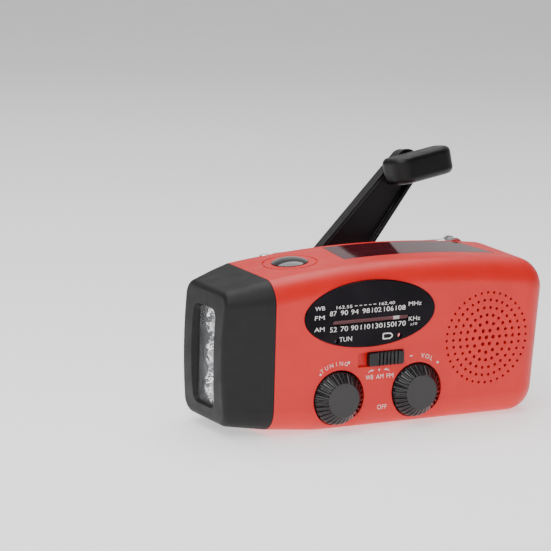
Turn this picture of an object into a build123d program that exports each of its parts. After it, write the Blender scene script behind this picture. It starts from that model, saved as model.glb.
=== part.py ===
from build123d import *
import os
from math import acos, atan, atan2, cos, degrees, pi, radians, sin, sqrt, tan

# Hand-crank emergency radio with a lamp, a solar panel and a folding telescopic antenna.
# Millimetres. X runs from the lamp end (-X) to the speaker end (+X), Y from the front panel (-Y)
# to the back (+Y), and Z is up. The origin is on the base, midway between the front and the back.

os.makedirs("parts", exist_ok=True)

# ---------------------------------------------------------------- body
LENGTH, DEPTH, HEIGHT = 129.2, 45.0, 60.0
FRONT, BACK = -DEPTH / 2, DEPTH / 2
WALL = 2.0
EDGE_R = 8.5                       # rounding of the long edges
TOP_R, TOP_X = 390.0, 4.0          # arch of the top and where it peaks
TOP_CORNER_R, FOOT_CORNER_R = 11.0, 10.0
SIDE_FOOT_X, SIDE_LEAN = 60.99, 0.0773    # the speaker end leans outwards as it rises
BELLY_X, BELLY_RISE = -28.0, 2.0   # the base lifts from here to the lamp bezel
BEZEL_X = -48.0                    # joint between the shells and the lamp bezel
SEAM = 0.15
SPLIT_Y = 14.2                     # joint between the front and the rear shell
SCREW_PLACES = [(-40, 9), (-40, 48.6), (24, 49.4), (22, 8)]
BOSS_R, SCREW_R, SCREW_HEAD_R = 3.0, 1.4, 2.6

# ---------------------------------------------------------------- lamp bezel
LAMP_END_X = 64.0 - LENGTH
BEZEL_END = (31.0, 47.6, 5.0)      # width, height and corner radius at the lamp end
BEZEL_END_Z = 27.9                 # middle of the lamp end
LAMP_Z = 27.2                      # middle of the lamp window
WINDOW = (15.0, 35.0, 2.6)         # width, height, corner radius
CUP_PITCH, CUP_R, CUP_THROAT_R = 11.7, 5.8, 2.9
LENS_X = -62.5
LAMP_HOLLOW = (25.0, 40.0, 3.0)    # the hollow behind the lamp window
SEAM_HOLLOW = (37.0, 45.6, 4.0)    # the hollow where the bezel meets the shells

# ---------------------------------------------------------------- front panel
DIAL = (-10.0, 42.65)
DIAL_HALF = (26.6, 12.1)
DIAL_SLOT_LENGTH, DIAL_SLOT_Z = 40.0, 40.2
SCALE_START_X, POINTER_TRAVEL, POINTER_SHARE = -23.9, 29.0, 0.895
TUNING, VOLUME = (-21.8, 12.7), (10.0, 12.9)
KNOB_R, KNOB_CAP_R, KNOB_RISE, KNOB_FLUTES = 9.7, 6.4, 4.0, 30
FLUTE_R = 0.55
KNOB_HOLE_R = 10.2
SWITCH_SLOT = (-5.05, 25.85, 18.5, 5.3)
SLIDER_X, SLIDER_LENGTH, SLIDER_TRAVEL = -3.2, 14.0, 4.0
SPEAKER = (38.7, 29.8)
SPEAKER_R, GRILLE_STEP = 18.4, 2.77
GRILLE_HOLE_R, GRILLE_SHRINK = 0.75, 0.045   # the holes get smaller from ring to ring
GRILLE_RINGS = [1, 6, 12, 20, 26, 34, 40]
BOARD_Y, BOARD_T = -9.0, 1.4
BOARD_POSTS = [(-34.5, 32), (15.5, 31), (-6, 7)]

# ---------------------------------------------------------------- top
BUTTON_X, BUTTON_R, BUTTON_GROOVE_R = -30.9, 6.6, 9.8
SOLAR_PLAN = [(-13.0, -7.6), (50.0, -7.6), (45.5, 13.0), (-10.5, 13.0)]
SOLAR_T = 1.4

# ---------------------------------------------------------------- antenna
ANTENNA_X, ANTENNA_Y, ANTENNA_Z = 47.0, 18.0, 55.8
ANTENNA_TIP_X = -27.5
ANTENNA_RADII = [2.3, 1.95, 1.6, 1.25, 0.9]
TUBE_WALL, TUBE_STEP = 0.3, 0.6
GROOVE_R = 2.9

# ---------------------------------------------------------------- crank
HUB_X, HUB_Z, HUB_R = -7.5, 41.0, 10.6
CRANK_ANGLE, ARM_LIFT = 41.0, 15.0   # the arm points up and right, and stands off the back
STOW_ANGLE = -15.0                   # where the arm lies with its grip in the recess
HINGE_Y = 24.9
ARM_LENGTH, ARM_T, ARM_ROOT_HALF, ARM_TIP_R = 64.2, 4.2, 10.2, 6.2
EAR_R, LUG_HALF = 2.4, 3.5
GRIP_LENGTH, GRIP_THICK, GRIP_DEPTH = 28.2, 10.2, 12.5
GRIP_TURN = 34.0
GRIP_GAP = 0.3
RUN = 0.05                           # radial clearance of a running fit

# ---------------------------------------------------------------- generator gears
MODULE, WHEEL_TEETH, PINION_TEETH = 0.65, 36, 12
PRESSURE_ANGLE, BACKLASH = radians(25), 0.12
IDLER, ROTOR = (-20.0, 31.67), (-27.5, 17.99)
WHEEL_1_Y, WHEEL_2_Y, GEAR_T = 10.5, 6.8, 2.8
PLATE_Y, PLATE_T = 4.8, 1.4
PLATE_POSTS = [(9, 41), (-20, 50.8), (-38, 30), (-10, 16)]


# ================================================================ helpers
def at_y(y):
    """Plane across the depth: its x is X, its y is Z. A negative extrude goes towards the back."""
    return Plane.XZ.offset(-y)


def at_x(x):
    """Plane across the length: its x is Y, its y is Z. A positive extrude goes towards +X."""
    return Plane.YZ.offset(x)


def top_z(x, inset=0.0):
    """Height of the arched top at x."""
    return HEIGHT - TOP_R + sqrt((TOP_R - inset) ** 2 - (x - TOP_X) ** 2)


def side_x(z):
    """Where the leaning speaker end is at height z."""
    return SIDE_FOOT_X + SIDE_LEAN * z


def finish(part, name):
    """Labels a finished piece and writes it."""
    part.label = name
    export_step(part, f"parts/{name}.step")


def body_form(inset, left):
    """The rounded form of the closed shells, or the hollow inside them when inset is the wall."""
    corner_z = HEIGHT
    for _ in range(8):
        corner_x = side_x(corner_z) - inset
        corner_z = top_z(corner_x, inset)
    rise = BELLY_RISE * (BELLY_X - left) / (BELLY_X - BEZEL_X)
    with BuildPart() as form:
        with BuildSketch(Plane.XZ) as outline:
            with BuildLine():
                ThreePointArc((left, top_z(left, inset)), (TOP_X, HEIGHT - inset), (corner_x, corner_z))
                Polyline(
                    (corner_x, corner_z),
                    (side_x(inset) - inset, inset),
                    (BELLY_X, inset),
                    (left, inset + rise),
                    (left, top_z(left, inset)),
                )
            make_face()
            fillet(outline.vertices().sort_by(Axis.X)[-1], TOP_CORNER_R - inset)
            fillet(outline.vertices().group_by(Axis.Y)[0].sort_by(Axis.X)[-1], FOOT_CORNER_R - inset)
            fillet(outline.vertices().group_by(Axis.Y)[0].sort_by(Axis.X)[0], 60)
        extrude(amount=DEPTH / 2 - inset, both=True)
        rims = form.faces().filter_by(Axis.Y).edges()
        fillet(rims.filter_by(lambda edge: edge.center().X > left + 1), EDGE_R - inset)
    return form.part


def top_band(plan, depth_from, depth_to):
    """A slab that follows the arch of the top between two depths, cut to a plan outline."""
    with BuildPart() as band:
        with BuildSketch(Plane.XY.offset(HEIGHT / 2)):
            with BuildLine():
                Polyline(*plan, close=True)
            make_face()
        extrude(amount=HEIGHT)
        with BuildSketch(Plane.XZ):
            with Locations((TOP_X, HEIGHT - TOP_R)):
                Circle(TOP_R - depth_from)
                Circle(TOP_R - depth_to, mode=Mode.SUBTRACT)
        extrude(amount=DEPTH, both=True, mode=Mode.INTERSECT)
    return band.part


def grown(plan, step):
    """The four-cornered solar outline with every side moved out by step."""
    middle_x = sum(x for x, _ in plan) / len(plan)
    middle_y = sum(y for _, y in plan) / len(plan)
    return [(x + (step if x > middle_x else -step), y + (step if y > middle_y else -step)) for x, y in plan]


def gear_outline(teeth, first_angle):
    """Corner points of an involute spur gear with a tooth centred at first_angle, in radians."""
    pitch = MODULE * teeth / 2
    base = pitch * cos(PRESSURE_ANGLE)
    root, tip = pitch - 1.05 * MODULE, pitch + 0.8 * MODULE
    half = (pi * MODULE / 2 - BACKLASH / 2) / (2 * pitch)

    def involute(radius):
        angle = acos(min(1.0, base / radius))
        return tan(angle) - angle

    flank_foot = max(base, root)
    radii = [flank_foot + (tip - flank_foot) * step / 5 for step in range(6)]
    flank = [(radius, half + tan(PRESSURE_ANGLE) - PRESSURE_ANGLE - involute(radius)) for radius in radii]
    if root < base:
        flank.insert(0, (root, flank[0][1]))
    tooth = [(radius, -spread) for radius, spread in flank] + list(reversed(flank))
    points = []
    for index in range(teeth):
        centre = first_angle + 2 * pi * index / teeth
        points += [(radius * cos(centre + turn), radius * sin(centre + turn)) for radius, turn in tooth]
    return points


def gear(teeth, centre, first_angle, y, bore):
    """A spur gear about Y, standing on the plane y and growing towards the back."""
    with BuildPart() as wheel:
        with BuildSketch(Plane(origin=(centre[0], y, centre[1]), x_dir=(1, 0, 0), z_dir=(0, -1, 0))):
            with BuildLine():
                Polyline(*gear_outline(teeth, first_angle), close=True)
            make_face()
            Circle(bore, mode=Mode.SUBTRACT)
        extrude(amount=-GEAR_T)
    return wheel.part


def direction(start, end):
    """Angle of the line between two (X, Z) places, in radians."""
    return atan2(end[1] - start[1], end[0] - start[0])


def turned_screws(places, plane_y, head_r, head_t, shank_r, shank_length, towards_back=True):
    """Pan-head screws with a cross recess. The head stands at plane_y on its outer side."""
    sign = -1 if towards_back else 1
    with BuildPart() as screws:
        with BuildSketch(at_y(plane_y)):
            with Locations(*places):
                Circle(head_r)
        extrude(amount=sign * head_t)
        with BuildSketch(at_y(plane_y)):
            with Locations(*places):
                Circle(shank_r)
        extrude(amount=-sign * shank_length)
        with BuildSketch(at_y(plane_y - sign * head_t)):
            with Locations(*places):
                Rectangle(head_r * 1.1, 0.5)
                Rectangle(0.5, head_r * 1.1)
        extrude(amount=-sign * head_t * 0.6, mode=Mode.SUBTRACT)
    return screws.part


# Directions of the crank as it stands: along the arm, out of its back face, and across it.
along = Vector(cos(radians(ARM_LIFT)) * cos(radians(CRANK_ANGLE)), sin(radians(ARM_LIFT)),
               cos(radians(ARM_LIFT)) * sin(radians(CRANK_ANGLE)))
across = Vector(sin(radians(CRANK_ANGLE)), 0, -cos(radians(CRANK_ANGLE)))
outward = along.cross(across)
arm_plane = Plane(origin=(HUB_X, HINGE_Y, HUB_Z), x_dir=along, z_dir=outward)
hub_plane = Plane(
    origin=(HUB_X, 0, HUB_Z), x_dir=(cos(radians(CRANK_ANGLE)), 0, sin(radians(CRANK_ANGLE))), z_dir=(0, 1, 0)
)
stow_pin = (HUB_X + ARM_LENGTH * cos(radians(STOW_ANGLE)), HUB_Z + ARM_LENGTH * sin(radians(STOW_ANGLE)))
side_tilt = degrees(atan(SIDE_LEAN))
button_normal = Vector(BUTTON_X - TOP_X, 0, TOP_R).normalized()
button_plane = Plane(origin=(BUTTON_X, 0, top_z(BUTTON_X)), x_dir=(0, 1, 0), z_dir=button_normal)
side_plane = Plane(
    origin=(side_x(24), 0, 24), x_dir=(0, 1, 0), z_dir=Vector(1, 0, -SIDE_LEAN).normalized()
)
outer_form = body_form(0, BEZEL_X + SEAM)
inner_form = body_form(WALL, BEZEL_X - 4)

# ================================================================ shells
PORTS = [(18.0, 13.6, -2.0, 6.4), (32.6, 8.8, -0.4, 3.8)]   # middle Z, height, middle Y, width
FLAP = (12.6, 31.0, -1.0, 25.0)                            # width, height, middle Y, middle Z
FLAP_T = 1.4

with BuildPart() as front_shell:
    add(outer_form)
    add(inner_form, mode=Mode.SUBTRACT)
    with BuildSketch(at_y(SPLIT_Y)):
        Rectangle(2 * LENGTH, 3 * HEIGHT)
    extrude(amount=-DEPTH, mode=Mode.SUBTRACT)
    # bosses for the case screws and posts for the board
    with BuildSketch(at_y(FRONT + 1)):
        with Locations(*SCREW_PLACES):
            Circle(BOSS_R)
    extrude(amount=-(SPLIT_Y - FRONT - 1))
    with BuildSketch(at_y(FRONT + 1)):
        with Locations(*BOARD_POSTS):
            Circle(2.2)
    extrude(amount=-(BOARD_Y - FRONT - 1))
    with BuildSketch(at_y(SPLIT_Y)):
        with Locations(*SCREW_PLACES):
            Circle(SCREW_R)
    extrude(amount=12, mode=Mode.SUBTRACT)
    with BuildSketch(at_y(BOARD_Y)):
        with Locations(*BOARD_POSTS):
            Circle(1.0)
    extrude(amount=7, mode=Mode.SUBTRACT)
    # seat of the speaker, floor of the band switch, ledge of the solar window, frame of the ports
    with BuildSketch(at_y(FRONT + 1)):
        with Locations(SPEAKER):
            Circle(SPEAKER_R + 1.6)
            Circle(SPEAKER_R + 0.2, mode=Mode.SUBTRACT)
    extrude(amount=-3.6)
    with BuildSketch(at_y(FRONT + 1)):
        with Locations(SWITCH_SLOT[:2]):
            Rectangle(SWITCH_SLOT[2] + 3, SWITCH_SLOT[3] + 2.4)
    extrude(amount=-1.8)
    add(top_band(grown(SOLAR_PLAN, 0.9), 1.0, 3.6))
    with BuildSketch(side_plane.offset(-1)):
        with Locations((FLAP[2], FLAP[3] - 24)):
            Rectangle(FLAP[0] + 3, FLAP[1] + 3)
    extrude(amount=-2.4)
    # the openings
    with BuildSketch(at_y(FRONT - 1)):
        with Locations(TUNING, VOLUME):
            Circle(KNOB_HOLE_R)
        with Locations(DIAL):
            Ellipse(*DIAL_HALF)
        with Locations(SPEAKER):
            for ring, count in enumerate(GRILLE_RINGS):
                with PolarLocations(ring * GRILLE_STEP, count):
                    Circle(GRILLE_HOLE_R - GRILLE_SHRINK * ring)
    extrude(amount=-(WALL + 2.0), mode=Mode.SUBTRACT)
    with BuildSketch(at_y(FRONT)):
        with Locations(SWITCH_SLOT[:2]):
            RectangleRounded(SWITCH_SLOT[2], SWITCH_SLOT[3], 0.5)
    extrude(amount=-1.4, mode=Mode.SUBTRACT)
    with BuildSketch(at_y(FRONT)):
        with Locations((SLIDER_X - SLIDER_TRAVEL / 2, SWITCH_SLOT[1])):
            Rectangle(SLIDER_TRAVEL + 3.6, 2.4)
    extrude(amount=-4, mode=Mode.SUBTRACT)
    add(top_band(SOLAR_PLAN, -4, SOLAR_T + 0.9), mode=Mode.SUBTRACT)
    with BuildSketch(button_plane.offset(2)):
        Circle(BUTTON_R + 0.15)
    extrude(amount=-6, mode=Mode.SUBTRACT)
    with BuildSketch(button_plane.offset(2)):
        Circle(BUTTON_GROOVE_R + 0.25)
        Circle(BUTTON_GROOVE_R - 0.25, mode=Mode.SUBTRACT)
    extrude(amount=-2.5, mode=Mode.SUBTRACT)
    with BuildSketch(side_plane):
        with Locations((FLAP[2], FLAP[3] - 24)):
            RectangleRounded(FLAP[0], FLAP[1], 2.5)
    extrude(amount=-FLAP_T - 0.1, mode=Mode.SUBTRACT)
    with BuildSketch(at_x(side_x(24) - 8)):
        for middle_z, height, middle_y, width in PORTS:
            with Locations((middle_y, middle_z)):
                Rectangle(width, height)
    extrude(amount=12, mode=Mode.SUBTRACT)
finish(front_shell.part, "front_shell")

POCKET = (GRIP_THICK + 0.8, GRIP_LENGTH + 1.2)
POCKET_FLOOR_Y = HINGE_Y - ARM_T / 2 - GRIP_GAP - GRIP_DEPTH - 0.5
WELL_FLOOR_Y = 18.0

with BuildPart() as rear_shell:
    add(outer_form)
    add(inner_form, mode=Mode.SUBTRACT)
    with BuildSketch(at_y(SPLIT_Y + SEAM)):
        Rectangle(2 * LENGTH, 3 * HEIGHT)
    extrude(amount=DEPTH, mode=Mode.SUBTRACT)
    # seats that grow inwards from the back wall, trimmed to the outer form
    with BuildPart(mode=Mode.PRIVATE) as seats:
        with BuildSketch(at_y(POCKET_FLOOR_Y - 1.2)):
            with Locations(Location(stow_pin, -side_tilt)):
                Rectangle(POCKET[0] + 1.4, POCKET[1] + 2)
        extrude(amount=-(BACK - POCKET_FLOOR_Y + 1.2))
        with BuildSketch(at_y(WELL_FLOOR_Y - 2)):
            with Locations((HUB_X, HUB_Z)):
                Circle(HUB_R + 2.2)
        extrude(amount=-(BACK - WELL_FLOOR_Y + 2))
        with BuildSketch(at_y(WHEEL_1_Y + GEAR_T + 0.4)):
            with Locations((HUB_X, HUB_Z)):
                Circle(5)
        extrude(amount=-6)
        with BuildSketch(at_y(PLATE_Y + PLATE_T)):
            with Locations(*PLATE_POSTS):
                Circle(2.6)
        extrude(amount=-(BACK - 1 - PLATE_Y - PLATE_T))
        with BuildSketch(at_y(WHEEL_1_Y + GEAR_T + 0.3)):
            with Locations(IDLER):
                Circle(2.6)
        extrude(amount=-(BACK - 1 - WHEEL_1_Y - GEAR_T - 0.3))
        with BuildSketch(at_y(SPLIT_Y + SEAM)):
            with Locations(*SCREW_PLACES):
                Circle(BOSS_R + 1)
        extrude(amount=-(BACK - SPLIT_Y - SEAM))
        # trough of the antenna
        with BuildSketch(at_x(BEZEL_X + SEAM)):
            with Locations((ANTENNA_Y, ANTENNA_Z)):
                Circle(GROOVE_R + 1.2)
            with Locations((ANTENNA_Y + 1, ANTENNA_Z + 4)):
                Rectangle(GROOVE_R * 2 + 6, 8)
        extrude(amount=ANTENNA_X + 6.2 - BEZEL_X)
        with Locations((ANTENNA_X, ANTENNA_Y, ANTENNA_Z)):
            Box(8.6, 2 * GROOVE_R + 2.4, 12, align=(Align.CENTER, Align.CENTER, Align.CENTER))
        add(outer_form, mode=Mode.INTERSECT)
        with BuildSketch(at_y(SPLIT_Y + SEAM)):
            with Locations((0, HEIGHT)):
                Rectangle(2 * LENGTH, 20)
        extrude(amount=DEPTH, mode=Mode.SUBTRACT)
    add(seats.part)
    # recesses and holes
    with BuildSketch(at_y(POCKET_FLOOR_Y)):
        with Locations(Location(stow_pin, -side_tilt)):
            RectangleRounded(*POCKET, 3)
    extrude(amount=-DEPTH, mode=Mode.SUBTRACT)
    with BuildSketch(at_y(WELL_FLOOR_Y)):
        with Locations((HUB_X, HUB_Z)):
            Circle(HUB_R + 0.4)
    extrude(amount=-DEPTH, mode=Mode.SUBTRACT)
    with BuildSketch(at_y(0)):
        with Locations((HUB_X, HUB_Z)):
            Circle(2.5 + RUN)
        with Locations(*PLATE_POSTS):
            Circle(1.0)
    extrude(amount=-WELL_FLOOR_Y - 0.5, mode=Mode.SUBTRACT)
    with BuildSketch(at_y(0)):
        with Locations(IDLER):
            Circle(1.25)
    extrude(amount=-BACK + 1, mode=Mode.SUBTRACT)
    with BuildSketch(at_y(BACK)):
        with Locations(*SCREW_PLACES):
            Circle(SCREW_HEAD_R + 0.3)
    extrude(amount=4.5, mode=Mode.SUBTRACT)
    with BuildSketch(at_y(BACK)):
        with Locations(*SCREW_PLACES):
            Circle(SCREW_R + 0.2)
    extrude(amount=12, mode=Mode.SUBTRACT)
    with BuildSketch(at_x(BEZEL_X - 1)):
        with Locations((ANTENNA_Y, ANTENNA_Z)):
            Circle(GROOVE_R)
        with Locations((ANTENNA_Y, ANTENNA_Z + 4)):
            Rectangle(GROOVE_R * 2, 8)
    extrude(amount=ANTENNA_X + 4.2 - BEZEL_X + 1, mode=Mode.SUBTRACT)
    with Locations((ANTENNA_X, ANTENNA_Y, ANTENNA_Z - 5.2)):
        Box(6.4, 2 * GROOVE_R, 10, align=(Align.CENTER, Align.CENTER, Align.MIN), mode=Mode.SUBTRACT)
finish(rear_shell.part, "rear_shell")

finish(
    turned_screws(SCREW_PLACES, BACK - 4.5, SCREW_HEAD_R, 1.8, SCREW_R, 14, towards_back=True), "case_screws"
)

# ================================================================ lamp
BEZEL_START = (DEPTH, top_z(BEZEL_X) - BELLY_RISE, EDGE_R)
BEZEL_START_Z = (top_z(BEZEL_X) + BELLY_RISE) / 2
BEZEL_LENGTH = BEZEL_X - LAMP_END_X
OVERSHOOT = 2.0
LIP_LENGTH = 2.4

with BuildPart() as lamp_bezel:
    with BuildSketch(at_x(BEZEL_X)):
        with Locations((0, BEZEL_START_Z)):
            RectangleRounded(*BEZEL_START)
    stretch = (BEZEL_LENGTH + OVERSHOOT) / BEZEL_LENGTH
    end_size = [BEZEL_START[i] + (BEZEL_END[i] - BEZEL_START[i]) * stretch for i in range(3)]
    with BuildSketch(at_x(LAMP_END_X - OVERSHOOT)):
        with Locations((0, BEZEL_START_Z + (BEZEL_END_Z - BEZEL_START_Z) * stretch)):
            RectangleRounded(*end_size)
    loft()
    with BuildSketch(Plane.XZ):
        with BuildLine():
            ThreePointArc((LAMP_END_X + 2.8, -3), (LAMP_END_X, BEZEL_END_Z), (LAMP_END_X + 2.8, HEIGHT + 2))
            Polyline((LAMP_END_X + 2.8, HEIGHT + 2), (BEZEL_X, HEIGHT + 2), (BEZEL_X, -3), (LAMP_END_X + 2.8, -3))
        make_face()
    extrude(amount=DEPTH, both=True, mode=Mode.INTERSECT)
    fillet(lamp_bezel.faces().sort_by(Axis.X)[0].edges(), 2.4)
    # lip that goes into the shells
    with BuildSketch(at_x(BEZEL_X - 1)):
        with Locations((0, BEZEL_START_Z)):
            RectangleRounded(BEZEL_START[0] - 4.6, BEZEL_START[1] - 5.4, EDGE_R - WALL)
    extrude(amount=1 + LIP_LENGTH)
    with BuildSketch(at_x(BEZEL_X)):
        with Locations((ANTENNA_Y, ANTENNA_Z)):
            Circle(GROOVE_R + 1.5)
    extrude(amount=4, mode=Mode.SUBTRACT)
    with BuildSketch(at_x(LENS_X + 1.6)):
        with Locations((0, BEZEL_END_Z)):
            RectangleRounded(*LAMP_HOLLOW)
    with BuildSketch(at_x(BEZEL_X)):
        with Locations((0, BEZEL_START_Z)):
            RectangleRounded(*SEAM_HOLLOW)
    loft(mode=Mode.SUBTRACT)
    with BuildSketch(at_x(BEZEL_X)):
        with Locations((0, BEZEL_START_Z)):
            RectangleRounded(*SEAM_HOLLOW)
    extrude(amount=LIP_LENGTH + 1, mode=Mode.SUBTRACT)
    with BuildSketch(at_x(LAMP_END_X - 1)):
        with Locations((0, LAMP_Z)):
            RectangleRounded(*WINDOW)
    extrude(amount=8, mode=Mode.SUBTRACT)
    with BuildSketch(at_x(LENS_X - 0.4)):
        with Locations((0, LAMP_Z)):
            RectangleRounded(*WINDOW)
    with BuildSketch(at_x(LAMP_END_X - 0.6)):
        with Locations((0, LAMP_Z)):
            RectangleRounded(WINDOW[0] + 2.6, WINDOW[1] + 2.6, WINDOW[2] + 1.3)
    loft(mode=Mode.SUBTRACT)
    # the antenna's channel runs on over the corner
    with BuildSketch(at_x(LAMP_END_X - 4)):
        with Locations((ANTENNA_Y, ANTENNA_Z)):
            Circle(GROOVE_R)
        with Locations((ANTENNA_Y, ANTENNA_Z + 4)):
            Rectangle(GROOVE_R * 2, 8)
    extrude(amount=LENGTH / 2, mode=Mode.SUBTRACT)
finish(lamp_bezel.part, "lamp_bezel")

with BuildPart() as lamp_lens:
    with BuildSketch(at_x(LENS_X)):
        with Locations((0, LAMP_Z)):
            RectangleRounded(WINDOW[0] - 0.2, WINDOW[1] - 0.2, WINDOW[2] - 0.1)
    extrude(amount=1.2)
finish(lamp_lens.part, "lamp_lens")

CUP_PLACES = [(0, LAMP_Z + CUP_PITCH * step) for step in (-1, 0, 1)]
REFLECTOR_X, CUP_DEPTH = LENS_X + 1.6, 7.0
with BuildPart() as lamp_reflector:
    with BuildSketch(at_x(REFLECTOR_X)):
        with Locations((0, LAMP_Z)):
            RectangleRounded(20, 38, 3)
    extrude(amount=1.2)
    for y, z in CUP_PLACES:
        cup_end = Plane.YZ.offset(REFLECTOR_X + CUP_DEPTH)
        with BuildSketch(at_x(REFLECTOR_X)):
            with Locations((y, z)):
                Circle(CUP_R + 0.8)
        with BuildSketch(cup_end):
            with Locations((y, z)):
                Circle(CUP_THROAT_R + 0.8)
        loft()
    for y, z in CUP_PLACES:
        for start, end in ((0, 0.45), (0.45, 1.0)):
            with BuildSketch(at_x(REFLECTOR_X + CUP_DEPTH * start)):
                with Locations((y, z)):
                    Circle(CUP_R - (CUP_R - CUP_THROAT_R) * start ** 1.6)
            with BuildSketch(at_x(REFLECTOR_X + CUP_DEPTH * end)):
                with Locations((y, z)):
                    Circle(CUP_R - (CUP_R - CUP_THROAT_R) * end ** 1.6)
            loft(mode=Mode.SUBTRACT)
finish(lamp_reflector.part, "lamp_reflector")

LAMP_BOARD_X = REFLECTOR_X + CUP_DEPTH + 0.6
with BuildPart() as lamp_leds:
    with BuildSketch(at_x(LAMP_BOARD_X)):
        with Locations(*CUP_PLACES):
            Circle(2.4)
    extrude(amount=-3.4)
    with Locations(*[(LAMP_BOARD_X - 3.4, y, z) for y, z in CUP_PLACES]):
        Sphere(2.4)
finish(lamp_leds.part, "lamp_leds")

with BuildPart() as lamp_board:
    with BuildSketch(at_x(LAMP_BOARD_X)):
        with Locations((0, LAMP_Z)):
            RectangleRounded(20, 36, 2)
    extrude(amount=1.4)
finish(lamp_board.part, "lamp_board")

# ================================================================ dial
LENS_T = 1.7
DIAL_PLATE_Y = -19.9
CARRIER_Z = DIAL_SLOT_Z + 4.4
INDICATORS = [(-23.6, 33.7), (2.3, 33.7)]
INDICATOR_Y = -20.95
DIAL_PLATE_Z, DIAL_PLATE_HALF = 41.9, (26.0, 11.6)

with BuildPart() as dial_lens:
    with BuildSketch(at_y(FRONT - 0.35)):
        with Locations(DIAL):
            Ellipse(DIAL_HALF[0] - 0.08, DIAL_HALF[1] - 0.08)
    extrude(amount=-LENS_T)
    fillet(dial_lens.edges().filter_by(GeomType.ELLIPSE).sort_by(Axis.Y)[0], 0.3)
finish(dial_lens.part, "dial_lens")

with BuildPart() as dial_plate:
    with BuildSketch(at_y(DIAL_PLATE_Y)):
        with Locations((DIAL[0], DIAL_PLATE_Z)):
            Ellipse(*DIAL_PLATE_HALF)
        with Locations((DIAL[0], CARRIER_Z)):
            Rectangle(DIAL_SLOT_LENGTH, 1.4, mode=Mode.SUBTRACT)
        with Locations(*INDICATORS):
            Circle(1.1, mode=Mode.SUBTRACT)
    extrude(amount=-0.8)
finish(dial_plate.part, "dial_plate")

POINTER_X = SCALE_START_X + POINTER_TRAVEL * POINTER_SHARE
with BuildPart() as dial_pointer:
    with BuildSketch(at_y(DIAL_PLATE_Y - 0.6)):
        with Locations((POINTER_X, DIAL_SLOT_Z + 1.9)):
            Rectangle(2.2, 6.4)
    extrude(amount=-0.4)
    with BuildSketch(at_y(DIAL_PLATE_Y - 0.2)):
        with Locations((POINTER_X, CARRIER_Z)):
            Rectangle(0.9, 0.9)
    extrude(amount=-1.6)
    with BuildSketch(at_y(DIAL_PLATE_Y + 1.2)):
        with Locations((POINTER_X, CARRIER_Z)):
            Rectangle(5, 3)
    extrude(amount=-1.2)
finish(dial_pointer.part, "dial_pointer")

with BuildPart() as indicator_leds:
    with BuildSketch(at_y(INDICATOR_Y)):
        with Locations(*INDICATORS):
            Circle(1.0)
    extrude(amount=-(BOARD_Y - INDICATOR_Y))
finish(indicator_leds.part, "indicator_leds")


# ================================================================ knobs
def knob(centre):
    """A fluted conical knob with a flat cap, bored for its shaft."""
    x, z = centre
    with BuildPart() as piece:
        with BuildSketch(Plane.XY):
            with BuildLine():
                Polyline(
                    (0, FRONT - KNOB_RISE),
                    (KNOB_CAP_R, FRONT - KNOB_RISE),
                    (KNOB_CAP_R + 0.25, FRONT - KNOB_RISE + 0.5),
                    (KNOB_R - 0.5, FRONT - 0.9),
                    (KNOB_R, FRONT),
                    (KNOB_R, FRONT + 2.6),
                    (0, FRONT + 2.6),
                    close=True,
                )
            make_face()
        revolve(axis=Axis.Y)
        for index in range(KNOB_FLUTES):
            angle = 2 * pi * index / KNOB_FLUTES
            spoke = Vector(cos(angle), 0, sin(angle))
            start = spoke * (KNOB_CAP_R + 0.35) + Vector(0, FRONT - KNOB_RISE + 0.4, 0)
            slant = spoke * (KNOB_R - KNOB_CAP_R - 0.3) + Vector(0, KNOB_RISE - 0.5, 0)
            with BuildSketch(Plane(origin=start - slant * 0.15, z_dir=slant)):
                Circle(FLUTE_R)
            extrude(amount=slant.length * 1.25, mode=Mode.SUBTRACT)
        with BuildSketch(at_y(FRONT + 2.6)):
            Circle(3.0)
        extrude(amount=4.6, mode=Mode.SUBTRACT)
    return piece.part.moved(Location((x, 0, z)))


def control_shaft(centre, back_y):
    """The metal shaft that turns with a knob."""
    with BuildPart() as shaft:
        with BuildSketch(at_y(FRONT - 2.0)):
            with Locations(centre):
                Circle(3.0)
        extrude(amount=-(back_y - FRONT + 2.0))
    return shaft.part


finish(knob(TUNING), "tuning_knob")
finish(knob(VOLUME), "volume_knob")
SHAFT_END_Y = -13.0
finish(control_shaft(TUNING, SHAFT_END_Y), "tuning_shaft")
finish(control_shaft(VOLUME, SHAFT_END_Y), "volume_shaft")

with BuildPart() as tuning_capacitor:
    with BuildSketch(at_y(-18.0)):
        with Locations(TUNING):
            RectangleRounded(15, 15, 1)
    extrude(amount=-(BOARD_Y + 18.0))
    with BuildSketch(at_y(-18.0)):
        with Locations(TUNING):
            Circle(3.0 + RUN)
    extrude(amount=-(SHAFT_END_Y + 18.0 + 0.3), mode=Mode.SUBTRACT)
finish(tuning_capacitor.part, "tuning_capacitor")

with BuildPart() as volume_potentiometer:
    with BuildSketch(at_y(-17.4)):
        with Locations(VOLUME):
            Circle(8)
        with Locations((VOLUME[0], VOLUME[1] + 5)):
            Rectangle(13, 8)
    extrude(amount=-(BOARD_Y + 17.4))
    with BuildSketch(at_y(-17.4)):
        with Locations(VOLUME):
            Circle(3.0 + RUN)
    extrude(amount=-(SHAFT_END_Y + 17.4 + 0.3), mode=Mode.SUBTRACT)
finish(volume_potentiometer.part, "volume_potentiometer")

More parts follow.
